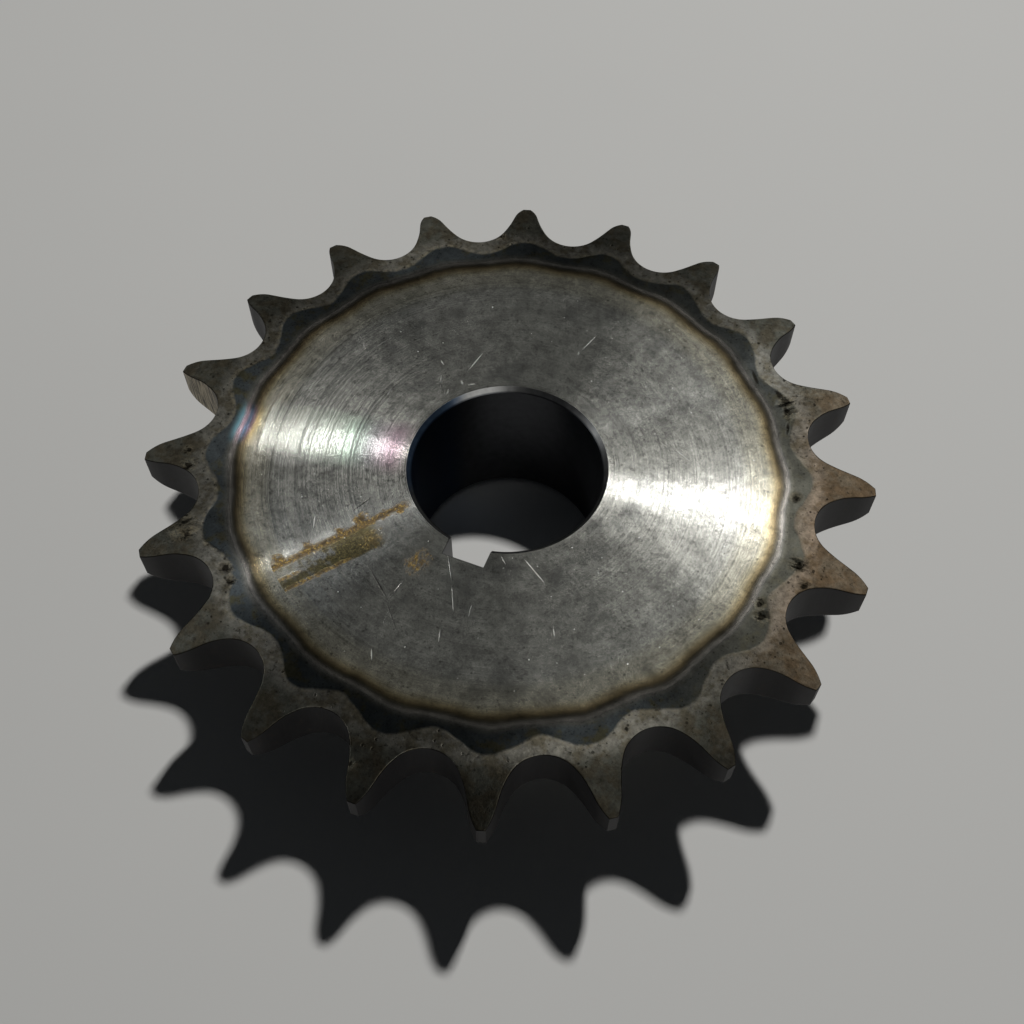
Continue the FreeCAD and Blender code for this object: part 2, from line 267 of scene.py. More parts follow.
def keyed_bore(angles, chamfer):
    """Angle, radius and chamfered radius of the bore with its keyway, for each of the angles.

    The angles nearest to the keyway's corners are moved onto them, so that its edges are straight.
    """
    angles = np.array(angles)
    wide = BORE_RADIUS + chamfer
    corners = [math.atan2(KEY_HALF, KEY_FLOOR), math.asin(KEY_HALF / wide),
               math.asin(KEY_HALF / BORE_RADIUS)]
    away = (angles - KEY_SIDE + math.pi) % (2 * math.pi) - math.pi
    for corner in corners:
        for side in (-1, 1):
            nearest = np.argmin(np.abs(away - side * corner))
            away[nearest] = side * corner
    size = np.abs(away)
    radius = np.full(len(angles), BORE_RADIUS)
    in_wall = size <= corners[2]
    radius[in_wall] = KEY_HALF / np.sin(np.maximum(size[in_wall], 1e-6))
    in_floor = size <= corners[0]
    radius[in_floor] = KEY_FLOOR / np.cos(size[in_floor])
    opened = np.where(size > corners[1] + 1e-9, wide, radius + EDGE_BREAK)
    return KEY_SIDE + away, radius, opened


def keyed_edge(angles, radius, opened):
    """Plan points of the bore's wall and of its chamfer's outer edge."""
    facing = np.stack([np.cos(angles), np.sin(angles)], 1)
    return facing * radius[:, None], facing * opened[:, None]


def side_height(points):
    """How far the plate's side has rounded away at plan points near the teeth's tips."""
    reach = np.clip(np.linalg.norm(points, axis=1) - SIDE_ARC_START, 0, None)
    return SIDE_ARC - np.sqrt(SIDE_ARC ** 2 - reach ** 2)


def crater_height(points):
    """Height of the slag beads and depth of the pits at plan points, level at the edges."""
    height = np.zeros(len(points))
    for x, y, size, rise in CRATERS:
        east, north = points[:, 0] - x * MM, points[:, 1] - y * MM
        turn = np.arctan2(north, east)
        uneven = 1 + 0.25 * np.sin(2 * turn + 3 * x) + 0.15 * np.sin(5 * turn + 7 * y)
        away = np.hypot(east, north) / (size * MM * uneven)
        height += rise * MM * np.clip(1 - (away / 1.35) ** 2, 0, 1)
    return height


def with_height(points, height):
    return np.column_stack([points, np.broadcast_to(height, len(points))])


def toothed_plate():
    """The plate with rounded edges, as a closed ring of section loops."""
    outer = tooth_outline()
    inner_outline = offset_inwards(outer, EDGE_BREAK)
    angles, radius, opened = keyed_bore(np.arctan2(outer[:, 1], outer[:, 0]), FACE_CHAMFER)
    wall, mouth = keyed_edge(angles, radius, opened)
    drop = opened - radius
    rows = []
    for share in (0, 0.3, 0.6, 0.97, 1):
        rows.append(with_height(wall, PLATE_BACK + share * (PLATE_TOP - drop - PLATE_BACK)))
    for share in (0.08, 0.5, 0.92):
        rows.append(with_height(wall + (mouth - wall) * share, PLATE_TOP - drop * (1 - share)))
    ring = RIM_RADIUS * np.stack([np.cos(angles), np.sin(angles)], 1)
    for step in (0, 0.006, 0.1, 0.25, 0.4, 0.55, 0.7, 0.85):
        rows.append(with_height(mouth + (ring - mouth) * step, PLATE_TOP))
    for step in np.concatenate([np.linspace(0, 0.98, 29), [1]]):
        plan = ring + (inner_outline - ring) * step
        rows.append(with_height(plan, PLATE_TOP - side_height(plan) + crater_height(plan)))
    for turn in (30, 60, 90):
        plan = inner_outline + (outer - inner_outline) * math.sin(math.radians(turn))
        sink = EDGE_BREAK * (1 - math.cos(math.radians(turn)))
        rows.append(with_height(plan, PLATE_TOP - side_height(inner_outline) - sink))
    upper = PLATE_TOP - side_height(inner_outline) - EDGE_BREAK
    lower = PLATE_BACK + side_height(inner_outline) + EDGE_BREAK
    for share in (0.03, 0.25, 0.5, 0.75, 0.97):
        rows.append(with_height(outer, upper + (lower - upper) * share))
    for turn in (90, 60, 30):
        plan = inner_outline + (outer - inner_outline) * math.sin(math.radians(turn))
        sink = EDGE_BREAK * (1 - math.cos(math.radians(turn)))
        rows.append(with_height(plan, PLATE_BACK + side_height(inner_outline) + sink))
    for step in (1, 0.98, 0.85, 0.7, 0.55, 0.4, 0.2, 0):
        plan = ring + (inner_outline - ring) * step
        rows.append(with_height(plan, PLATE_BACK + side_height(plan)))
    for step in (0.6, 0.25, 0.01):
        rows.append(with_height(wall + (ring - wall) * step, PLATE_BACK))
    points = np.stack(rows, 1).reshape(-1, 3)
    plate = add_object("toothed_plate_visual", points, ring_faces(len(outer), len(rows)))
    kinds = [BORE] * 8 + [FACE] * 8 + [RIM] * 32 + [CUT] * 8 + [RIM] * 8 + [FACE] * 4
    plate.data.polygons.foreach_set("material_index", kinds * len(outer))
    return plate


def hub_blank():
    """The hub before its tapped holes, as a closed ring of section loops."""
    count = 600
    around = KEY_SIDE + np.arange(count) * 2 * math.pi / count
    angles, radius, opened = keyed_bore(around, HUB_CHAMFER)
    wall, mouth = keyed_edge(angles, radius, opened)
    drop = opened - radius
    facing = np.stack([np.cos(around), np.sin(around)], 1)
    rows = []
    for share in (1, 0.75, 0.5, 0.25, 0.03, 0):
        rows.append(with_height(wall, drop + share * (HUB_HIGH.z - drop)))
    for share in (0.08, 0.5, 0.92, 1):
        rows.append(with_height(wall + (mouth - wall) * share, drop * (1 - share)))
    rim = HUB_RADIUS - HUB_CHAMFER
    for share in (0.01, 0.1, 0.25, 0.4, 0.55, 0.7, 0.85, 0.99, 1):
        rows.append(with_height(mouth + (facing * rim - mouth) * share, 0))
    for across, up in ((0.08, 0.04), (0.5, 0.5), (0.96, 0.92), (1, 1.08)):
        rows.append(with_height(facing * (rim + HUB_CHAMFER * across), HUB_CHAMFER * up))
    for share in (0.2, 0.4, 0.6, 0.8, 1):
        rows.append(with_height(facing * HUB_RADIUS, 1.08 * HUB_CHAMFER * (1 - share)
                                + HUB_HIGH.z * share))
    for share in (0.66, 0.33):
        rows.append(with_height(wall + (facing * HUB_RADIUS - wall) * share, HUB_HIGH.z))
    points = np.stack(rows, 1).reshape(-1, 3)
    blank = add_object("hub_visual", points, ring_faces(count, len(rows)))
    kinds = [HUB_BORE] * 9 + [HUB_BODY] * (len(rows) - 9)
    blank.data.polygons.foreach_set("material_index", kinds * count)
    return blank


def thread_radius(angle, height, crest, depth):
    """Radius of a right-hand 60 degree thread at an angle and a height along its axis."""
    turn = (height / THREAD_PITCH - angle / (2 * math.pi)) % 1.0
    from_crest = np.abs(turn - 0.5)
    return crest - depth * np.clip((from_crest - 1 / 16) / (5 / 16), 0, 1)


def screw_points(profile, columns, threaded):
    """Columns of points round Z through (height, radius limit) rows; poles come last."""
    angles = np.arange(columns) * 2 * math.pi / columns
    heights = np.array([row[0] for row in profile])
    points = []
    for angle in angles:
        radii = np.array([row[1](angle) if callable(row[1]) else row[1] for row in profile])
        cut = thread_radius(angle, heights, *threaded)
        on_thread = np.array([row[2] for row in profile])
        radii = np.where(on_thread, np.minimum(radii, cut), radii)
        points.append(np.stack([radii * math.cos(angle), radii * math.sin(angle), heights], 1))
    return np.vstack(points)


def hexagon_radius(flats):
    """Radius of a hexagon with a corner at angle zero, as a function of the angle."""
    sixth = math.pi / 3
    return lambda angle: flats / 2 / math.cos(angle % sixth - sixth / 2)


def set_screw_mesh():
    """Vertices and faces of a cup-point set screw along Z, its socket's end at z = 0."""
    columns = 90
    chamfer = 0.95 * MM
    point_length = 1.5 * MM
    cup = 2.1 * MM
    socket = hexagon_radius(SOCKET_FLATS)
    eased = hexagon_radius(SOCKET_FLATS + 0.24 * MM)
    drill = SOCKET_FLATS * 0.46
    profile = [(-SOCKET_DEPTH - 0.25 * MM, 0.5 * drill, False), (-SOCKET_DEPTH, drill, False),
               (-SOCKET_DEPTH + 0.06 * MM, socket, False), (-0.16 * MM, socket, False),
               (-0.1 * MM, socket, False), (0, eased, False)]
    face_edge = SCREW_RADIUS - chamfer
    profile += [(0, face_edge - 0.3 * MM, False), (0, face_edge - 0.05 * MM, False),
                (-0.03 * MM, face_edge, False)]
    height = -0.1 * MM
    step = THREAD_PITCH / 14
    while height > -SCREW_LENGTH + 0.02 * MM:
        above = face_edge - height
        slope = (SCREW_RADIUS - cup) / point_length
        below = cup + slope * (height + SCREW_LENGTH)
        profile.append((height, min(above, below, SCREW_RADIUS), True))
        height -= step
    profile += [(-SCREW_LENGTH, cup, False), (-SCREW_LENGTH + 0.05 * MM, cup - 0.12 * MM, False),
                (-SCREW_LENGTH + 0.5 * MM, 0.45 * cup, False)]
    points = screw_points(profile, columns, (SCREW_RADIUS, THREAD_DEPTH))
    poles = [(0, 0, -SOCKET_DEPTH - 0.5 * MM), (0, 0, -SCREW_LENGTH + 0.9 * MM)]
    faces = capped_faces(columns, len(profile))
    return np.vstack([points, poles]), faces


def hole_cutter_mesh(inner_end, outer_end, mouth):
    """Vertices and faces of the solid that a tapped hole takes away, in the screw's own frame."""
    columns = 90
    crest = SCREW_RADIUS + THREAD_GAP
    profile = []
    height = outer_end
    step = THREAD_PITCH / 14
    while height > inner_end:
        flare = max(0.0, height - mouth)
        profile.append((height, crest + flare, flare == 0.0))
        height -= step
    points = screw_points(profile, columns, (crest, THREAD_DEPTH))
    poles = [(0, 0, profile[0][0]), (0, 0, profile[-1][0])]
    return np.vstack([points, poles]), capped_faces(columns, len(profile))


def screw_frames():
    """For each set screw, the turn and shift from its own frame to the row's frame."""
    key_low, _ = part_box("set_screw_key")
    _, side_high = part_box("set_screw_side")
    return {
        "set_screw_key": Matrix.Translation((0, key_low.y, SCREW_HEIGHT))
        @ Matrix.Rotation(math.pi / 2, 4, "X"),
        "set_screw_side": Matrix.Translation((side_high.x, 0, SCREW_HEIGHT))
        @ Matrix.Rotation(math.pi / 2, 4, "Y"),
    }


def set_screws():
    screws = []
    points, faces = set_screw_mesh()
    for node, placing in screw_frames().items():
        screw = add_object(node + "_visual", points, faces)
        screw.data.transform(placing)
        screws.append(screw)
    return screws


def hub():
    """The hub with a tapped, countersunk hole for each set screw."""
    body = hub_blank()
    for node, placing in screw_frames().items():
        head = abs(placing.translation.x + placing.translation.y)
        points, faces = hole_cutter_mesh(
            BORE_RADIUS * 0.7 - head, HUB_RADIUS + 3 * MM - head, HUB_RADIUS - 0.55 * MM - head)
        cutter = add_object("cutter", points, faces)
        cutter.data.transform(placing)
        cut = body.modifiers.new("hole", "BOOLEAN")
        cut.operation = "DIFFERENCE"
        cut.solver = "EXACT"
        cut.object = cutter
        bpy.context.view_layer.update()
        solid = bpy.data.meshes.new_from_object(
            body.evaluated_get(bpy.context.evaluated_depsgraph_get()))
        body.modifiers.clear()
        body.data = solid
        bpy.data.objects.remove(cutter)
    body.data.set_sharp_from_angle(angle=math.radians(35))
    return body


def weld_bead():
    """Fillet weld with overlapping ripples, as a closed ring of section loops."""
    columns = 1500
    ripples = 190
    leg = BEAD_HIGH.x - HUB_RADIUS
    corner = np.array([HUB_RADIUS, BEAD_HIGH.z])
    overlap = 0.2 * MM
    inner = corner + (-overlap, -leg)
    across = np.linspace(0, 1, 17)
    points = []
    rng = np.random.default_rng(5)
    window = 60
    sway = np.convolve(rng.normal(size=columns + window), np.ones(window) / window, "same")
    for column in range(columns):
        around = column / columns
        angle = around * 2 * math.pi
        tide = leg * (1 + 0.10 * sway[column])
        start = corner + (0, -tide)
        stop = corner + (tide, 0)
        chord = start + (stop - start) * across[:, None]
        outward = np.array([1, -1]) / math.sqrt(2)
        crown = 0.20 * leg * np.sin(math.pi * across)
        lag = 1.1 * (2 * across - 1) ** 2
        beat = (around * ripples + lag) % 1.0
        ripple = 0.11 * MM * np.sqrt(np.sin(math.pi * beat)) * np.sin(math.pi * across) ** 0.5
        section = chord + outward * (crown + ripple)[:, None]
        section = np.vstack([section, corner + (-overlap, 0), inner])
        points.append(np.stack([section[:, 0] * math.cos(angle), section[:, 0] * math.sin(angle),
                                section[:, 1]], 1))
    return add_object("weld_bead_visual", np.vstack(points),
                      ring_faces(columns, len(across) + 2), math.radians(50))


# ---------------------------------------------------------------- materials

def linear(red, green, blue):
    """A colour given in display values from 0 to 255, as the shader takes it."""
    return tuple((c / 255 / 12.92 if c < 10.3 else ((c / 255 + 0.055) / 1.055) ** 2.4)
                 for c in (red, green, blue)) + (1.0,)


class Value:
    """One number or colour in a node tree; arithmetic on it adds Math nodes."""

    def __init__(self, tree, socket):
        self.tree = tree
        self.socket = socket

    def math(self, operation, *others):
        node = self.tree.nodes.new("ShaderNodeMath")
        node.operation = operation
        for slot, item in zip(node.inputs, (self,) + others):
            connect(self.tree, item, slot)
        return Value(self.tree, node.outputs[0])

    def __add__(self, other): return self.math("ADD", other)
    def __sub__(self, other): return self.math("SUBTRACT", other)
    def __mul__(self, other): return self.math("MULTIPLY", other)
    def __truediv__(self, other): return self.math("DIVIDE", other)
    def __neg__(self): return self.math("MULTIPLY", -1.0)
    def __rsub__(self, other): return -self + other
    __radd__ = __add__
    __rmul__ = __mul__

    def sqrt(self): return self.math("SQRT")
    def sin(self): return self.math("SINE")
    def cos(self): return self.math("COSINE")
    def abs(self): return self.math("ABSOLUTE")
    def at_least(self, other): return self.math("MAXIMUM", other)
    def at_most(self, other): return self.math("MINIMUM", other)

    def smooth(self, low, high):
        """0 below low, 1 above high and smooth between; low may be the larger."""
        node = self.tree.nodes.new("ShaderNodeMapRange")
        node.interpolation_type = "SMOOTHSTEP"
        connect(self.tree, self, node.inputs["Value"])
        node.inputs["From Min"].default_value = min(low, high)
        node.inputs["From Max"].default_value = max(low, high)
        node.inputs["To Min"].default_value = 0.0 if low < high else 1.0
        node.inputs["To Max"].default_value = 1.0 if low < high else 0.0
        return Value(self.tree, node.outputs["Result"])

    def peak(self, middle, half_width):
        """1 at middle, falling smoothly to 0 at half_width away."""
        return (self - middle).abs().smooth(half_width, 0.0)


def connect(tree, item, slot):
    if isinstance(item, Value):
        tree.links.new(item.socket, slot)
    else:
        slot.default_value = item


class Finish:
    """A material being built: its principled shader, and coordinates in millimetres."""

    def __init__(self, name, **constants):
        self.material = bpy.data.materials.new(name)
        self.material.use_nodes = True
        self.tree = self.material.node_tree
        self.shader = self.tree.nodes["Principled BSDF"]
        for socket, value in constants.items():
            self.shader.inputs[socket.replace("_", " ")].default_value = value
        coordinates = self.node("TexCoord")
        scale = self.node("VectorMath")
        scale.operation = "SCALE"
        self.tree.links.new(coordinates.outputs["Object"], scale.inputs[0])
        scale.inputs["Scale"].default_value = 1 / MM
        self.place = self.out(scale)
        split = self.node("SeparateXYZ")
        connect(self.tree, self.place, split.inputs[0])
        self.x, self.y, self.z = [Value(self.tree, out) for out in split.outputs]
        self.radius = (self.x * self.x + self.y * self.y).sqrt()
        self.angle = self.y.math("ARCTAN2", self.x)
        self.plan = self.vector(self.x, self.y, 0.0)

    def node(self, kind):
        return self.tree.nodes.new("ShaderNode" + kind)

    def out(self, node, socket=0):
        return Value(self.tree, node.outputs[socket])

    def vector(self, x, y, z):
        node = self.node("CombineXYZ")
        for item, slot in zip((x, y, z), node.inputs):
            connect(self.tree, item, slot)
        return self.out(node)

    def noise(self, scale, detail=3.0, roughness=0.55, place=None, distortion=0.0):
        """Noise from 0 to 1 with features about 1/scale millimetres across."""
        node = self.node("TexNoise")
        connect(self.tree, self.place if place is None else place, node.inputs["Vector"])
        node.inputs["Scale"].default_value = scale
        node.inputs["Detail"].default_value = detail
        node.inputs["Roughness"].default_value = roughness
        node.inputs["Distortion"].default_value = distortion
        return self.out(node, "Fac")

    def mix(self, amount, first, second, blend="MIX"):
        """Colour between first, at amount 0, and its blend with second, at amount 1."""
        node = self.node("Mix")
        node.data_type = "RGBA"
        node.blend_type = blend
        connect(self.tree, amount, node.inputs["Factor"])
        connect(self.tree, first, node.inputs["A"])
        connect(self.tree, second, node.inputs["B"])
        return self.out(node, "Result")

    def shaded(self, colour, amount):
        """A colour times a grey amount."""
        grey = self.node("CombineColor")
        for slot in grey.inputs:
            connect(self.tree, amount, slot)
        return self.tinted(colour, self.out(grey), 1.0)

    def ramp(self, value, low, high, stops):
        """Colours along a value from low to high; stops are (value, display colour)."""
        share = (value - low) * (1 / (high - low))
        node = self.node("ValToRGB")
        connect(self.tree, share, node.inputs["Fac"])
        elements = node.color_ramp.elements
        while len(elements) < len(stops):
            elements.new(0.5)
        for element, (at, colour) in zip(elements, stops):
            element.position = (at - low) / (high - low)
            element.color = linear(*colour)
        return self.out(node, "Color")

    def tinted(self, colour, tint, amount):
        """A colour times a tint, by an amount."""
        return self.mix(amount, colour, tint, "MULTIPLY")

    def mix_value(self, amount, first, second):
        return first * (1 - amount) + second * amount

    def vector_math(self, operation, *items):
        node = self.node("VectorMath")
        node.operation = operation
        for slot, item in zip(node.inputs, items):
            connect(self.tree, item, slot)
        return node

    def oval(self, x0, y0, x1, y1, half_width):
        """A thin oval in plan from one point to another: 1 at its middle and 0 at its edge."""
        fit = self.node("Mapping")
        fit.vector_type = "TEXTURE"
        connect(self.tree, self.plan, fit.inputs["Vector"])
        fit.inputs["Location"].default_value = ((x0 + x1) / 2, (y0 + y1) / 2, 0.0)
        fit.inputs["Rotation"].default_value = (0.0, 0.0, math.atan2(y1 - y0, x1 - x0))
        fit.inputs["Scale"].default_value = (math.hypot(x1 - x0, y1 - y0) / 2, half_width, 1.0)
        ball = self.node("TexGradient")
        ball.gradient_type = "SPHERICAL"
        self.tree.links.new(fit.outputs[0], ball.inputs[0])
        return self.out(ball, "Fac")

    def from_point(self, x, y):
        """Distance in plan from a point."""
        away = self.vector_math("DISTANCE", self.plan, (x, y, 0.0))
        return self.out(away, "Value")

    def normal_z(self):
        """How far the surface faces up, from -1 to 1."""
        node = self.node("NewGeometry")
        facing = self.vector_math("DOT_PRODUCT", self.out(node, "Normal"),
                                  (0.0, 0.0, 1.0))
        return self.out(facing, "Value")

    def channels(self, colour):
        """A colour's red, green and blue."""
        node = self.node("SeparateColor")
        connect(self.tree, colour, node.inputs[0])
        return [Value(self.tree, channel) for channel in node.outputs]

    def cells(self, place, per_mm):
        """A pattern of random cells in plan."""
        node = self.node("TexVoronoi")
        node.voronoi_dimensions = "2D"
        connect(self.tree, place, node.inputs["Vector"])
        node.inputs["Scale"].default_value = per_mm
        return node

    def spots(self, per_mm, radius_mm, share, seed):
        """Mask of scattered round spots in plan; share is how many of the cells hold one."""
        node = self.cells(self.vector(self.x + seed * 7.3, self.y - seed * 3.1, 0.0), per_mm)
        distance = self.out(node, "Distance") * (1 / per_mm)
        chance, size, _ = self.channels(self.out(node, "Color"))
        spot = (distance / (size * (0.7 * radius_mm) + 0.3 * radius_mm)).smooth(1.0, 0.5)
        return spot * chance.smooth(share, share - 0.01)

    def hairlines(self, per_mm, half_width, share, seed):
        """Mask of short straight marks in plan, one in some of a pattern's cells."""
        place = self.vector(self.x + seed * 5.7, self.y - seed * 2.3, 0.0)
        node = self.cells(place, per_mm)
        offset = self.vector_math("SUBTRACT", place, self.out(node, "Position"))
        split = self.node("SeparateXYZ")
        connect(self.tree, self.out(offset), split.inputs[0])
        aside, ahead = self.out(split), self.out(split, 1)
        turn, reach, chance = self.channels(self.out(node, "Color"))
        turn = turn * (2 * math.pi)
        across = (aside * turn.cos() + ahead * turn.sin()).abs()
        along = (ahead * turn.cos() - aside * turn.sin()).abs()
        reach = reach * (0.5 / per_mm)
        picked = chance.smooth(share, share - 0.01)
        line = across.smooth(half_width, half_width * 0.3)
        return line * (along - reach).smooth(0.0, -0.4) * picked

    def set(self, socket, value):
        connect(self.tree, value, self.shader.inputs[socket])

    def grooved(self, tilt):
        """The normal, tilted across the turning marks by a different slope in each mark."""
        node = self.node("TexWhiteNoise")
        node.noise_dimensions = "1D"
        connect(self.tree, (self.radius * (1 / GROOVE_PITCH)).math("FLOOR"), node.inputs["W"])
        slope = (self.out(node, "Value") - 0.5) * 2 * tilt / self.radius
        turn = self.node("VectorTransform")
        turn.vector_type, turn.convert_from, turn.convert_to = "VECTOR", "OBJECT", "WORLD"
        connect(self.tree, self.vector(self.x * slope, self.y * slope, 0.0), turn.inputs[0])
        normal = self.node("NewGeometry")
        tilted = self.vector_math("ADD", self.out(normal, "Normal"),
                                  self.out(turn))
        unit = self.vector_math("NORMALIZE", self.out(tilted))
        return self.out(unit)

    def bump(self, height, distance_mm, strength=1.0, normal=None):
        """Bends the surface by a height from 0 to 1 that stands for a distance."""
        node = self.node("Bump")
        if normal is not None:
            connect(self.tree, normal, node.inputs["Normal"])
        connect(self.tree, height, node.inputs["Height"])
        node.inputs["Distance"].default_value = distance_mm * MM
        node.inputs["Strength"].default_value = strength
        self.tree.links.new(node.outputs["Normal"], self.shader.inputs["Normal"])

    def turned(self):
        """Makes the shader's highlight follow tool marks round the Z axis."""
        node = self.node("Tangent")
        node.direction_type = "RADIAL"
        node.axis = "Z"
        self.tree.links.new(node.outputs["Tangent"], self.shader.inputs["Tangent"])


STEEL = linear(172, 171, 167)


def tool_marks(finish, across, pitch_mm):
    """Fine ridges left by a turning tool that moved along a coordinate."""
    fine = finish.noise(1 / pitch_mm, 2.0, 0.6, finish.vector(across, finish.angle * 0.3, 0.0))
    coarse = finish.noise(0.3 / pitch_mm, 2.0, 0.5, finish.vector(across, finish.angle * 0.15, 7.0))
    return fine * 0.7 + coarse * 0.3


def strokes(finish, marks):
    """Mask of straight marks, each tapering to its ends."""
    total = None
    for x0, y0, x1, y1, half_width, strength in marks:
        stroke = finish.oval(x0, y0, x1, y1, half_width) * strength
        total = stroke if total is None else total.at_least(stroke)
    return (total * 2.2).at_most(1.0)


def off_shine(f):
    """Distance in plan from the middle of the highlight on the left."""
    return (f.y * 0.985 - f.x * 0.174).abs()


def ground_steel(f, mottle, grain):
    """Colour of the bare face: mottled grey with faint stains and dark specks."""
    cloud = f.noise(0.28, 4.0, 0.6)
    clean = f.shaded(STEEL, cloud * 1.4 + mottle * 0.9 + grain * 1.0 - 0.65)
    stain = f.noise(0.16, 4.0, 0.6, f.vector(f.x, f.y, 3.0)).smooth(0.52, 0.68)
    clean = f.mix(stain * 0.35, clean, linear(92, 94, 96))
    clean = f.mix((mottle + grain).smooth(0.88, 0.74) * 0.35, clean, linear(64, 63, 60))
    specks = f.spots(0.42, 0.24, 0.3, 11.0).at_least(f.spots(1.1, 0.15, 0.4, 5.0))
    return f.mix(specks * 0.6, clean, linear(62, 60, 56))


def rust_masks(f):
    """Masks of the rust and of the brown strip that it borders, and two noises they share."""
    ragged = f.noise(0.9, 5.0, 0.72)
    fleck = f.noise(2.6, 4.0, 0.7)
    ahead = (f.x - RUST_START[0]) * RUST_HEADING[0] + (f.y - RUST_START[1]) * RUST_HEADING[1]
    aside = (f.y - RUST_START[1]) * RUST_HEADING[0] - (f.x - RUST_START[0]) * RUST_HEADING[1]
    aside = aside + (ragged - 0.5) * 1.1
    on_strip = ahead.smooth(0.5, 2.0) * ahead.smooth(26.4, 25.4)
    lines = aside.abs().smooth(0.95, 0.15) * (fleck + ragged * 0.5).smooth(0.50, 0.74)
    lines = lines.at_least(aside.peak(4.1, 0.55) * ahead.smooth(11.0, 14.0)
                           * fleck.smooth(0.36, 0.50) * 0.9)
    lines = lines.at_least(aside.peak(2.3, 0.55) * ahead.smooth(19.0, 20.5)
                           * fleck.smooth(0.36, 0.50) * 0.9)
    strip = aside.smooth(-0.2, 0.5) * aside.smooth(4.6, 4.2) * ahead.smooth(6.0, 8.5) * on_strip
    lasting = ahead.smooth(17.0, 11.0) * 0.22 + aside.peak(3.5, 1.6) * 0.16
    strip = strip * (ragged + lasting).smooth(0.46, 0.66) * 0.9
    rust = lines * on_strip
    for x, y, size in RUST_CLUMPS:
        clump = (f.from_point(x, y) + (ragged - 0.5) * 2.6).smooth(size, size * 0.4)
        rust = rust.at_least(clump * fleck.smooth(0.28, 0.46))
    drawn = f.noise(1.0, 4.0, 0.7, f.vector(f.x * 2.2, f.y * 0.5, 2.0)).smooth(0.34, 0.58)
    for x0, y0, x1, y1, size, strength in RUST_SMEARS:
        smear = f.oval(x0, y0, x1, y1, size * 1.6)
        smear = (smear + (0.5 - ragged) * 1.6).smooth(0.1, 0.7) * smear.smooth(0.0, 0.2)
        rust = rust.at_least(smear * drawn * strength)
    on_top = f.z.smooth(*FACE_BAND)
    return rust * on_top, strip * on_top, ragged, fleck


def rusted(f, colour, rust, strip, ragged, fleck):
    """A colour with the rust over it."""
    film_and_painted_sheen = f.mix(fleck.smooth(0.42, 0.60), linear(88, 78, 46), linear(136, 124, 84))
    colour = f.mix(strip, colour, film_and_painted_sheen)
    rust_colour = f.mix(fleck.smooth(0.50, 0.62), linear(110, 84, 34), linear(214, 178, 92))
    rust_colour = f.mix(ragged.smooth(0.50, 0.58) * 0.9, rust_colour, linear(72, 54, 24))
    return f.mix(rust, colour, rust_colour)


def face_steel():
    """The turned face inside the hardened rim, with its stains, rust and scratches, and a painted
    sheen and painted highlight in a strip on the left.
    """
    f = Finish("face_steel", Metallic=1.0, Anisotropic=1.0, Anisotropic_Rotation=0.25)
    f.turned()
    mottle = f.noise(0.9, 5.0, 0.68)
    grain = f.noise(3.6, 5.0, 0.78)
    colour = ground_steel(f, mottle, grain)
    # Painted sheen: in a strip along the highlight on the left, the face is tinted with iridescent
    # colours. Past 34 mm the same tint is a warm temper colour.
    film_and_painted_sheen = f.ramp(f.radius, 14.0, 40.0, [
        (14.0, (255, 250, 250)), (17.5, (255, 228, 247)), (21.0, (242, 242, 250)),
        (24.5, (224, 255, 240)), (29.0, (234, 255, 246)), (33.0, (255, 255, 250)),
        (37.5, (255, 251, 240))])
    painted_shine_strip = f.x.smooth(-12.0, -17.0) * off_shine(f).smooth(6.0, 2.5)
    colour = f.tinted(colour, film_and_painted_sheen, painted_shine_strip.at_least(f.radius.smooth(34.0, 36.5)))
    # Painted highlight: the strip is painted lighter further out.
    colour = f.mix(painted_shine_strip * f.radius.smooth(21.0, 28.0) * 0.6, colour, linear(232, 234, 226))
    rust, strip, ragged, fleck = rust_masks(f)
    colour = rusted(f, colour, rust, strip, ragged, fleck)

    on_top = f.z.smooth(*FACE_BAND)
    gouges = strokes(f, GOUGES) * on_top * ragged.smooth(0.35, 0.5)
    hair = f.hairlines(0.14, 0.045, 0.35, 1.0).at_least(f.hairlines(0.3, 0.035, 0.25, 2.0))
    hair = hair * grain.smooth(0.3, 0.6)
    bright = strokes(f, SCRATCHES) * on_top * (0.5 + grain)
    bright = bright.at_least(f.spots(0.25, 0.13, 0.35, 31.0) * on_top * 0.8).at_most(1.0)
    colour = f.mix(gouges * 0.8, colour, linear(58, 52, 44))
    colour = f.mix(hair * 0.25, colour, linear(205, 204, 200))
    f.set("Base Color", f.mix(bright, colour, linear(228, 228, 224)))
    rough = 0.19 + (mottle - 0.5) * 0.04 + (grain - 0.5) * 0.03 + rust * 0.3
    f.set("Roughness", f.mix_value(bright * 0.9, rough, 0.42))
    f.set("Metallic", 1 - rust * 0.9)
    f.bump(rust * fleck * 1.2 - bright * 0.6 - gouges - hair * 0.2, 0.03, 0.5,
           f.grooved(GROOVE_TILT))
    return f.material


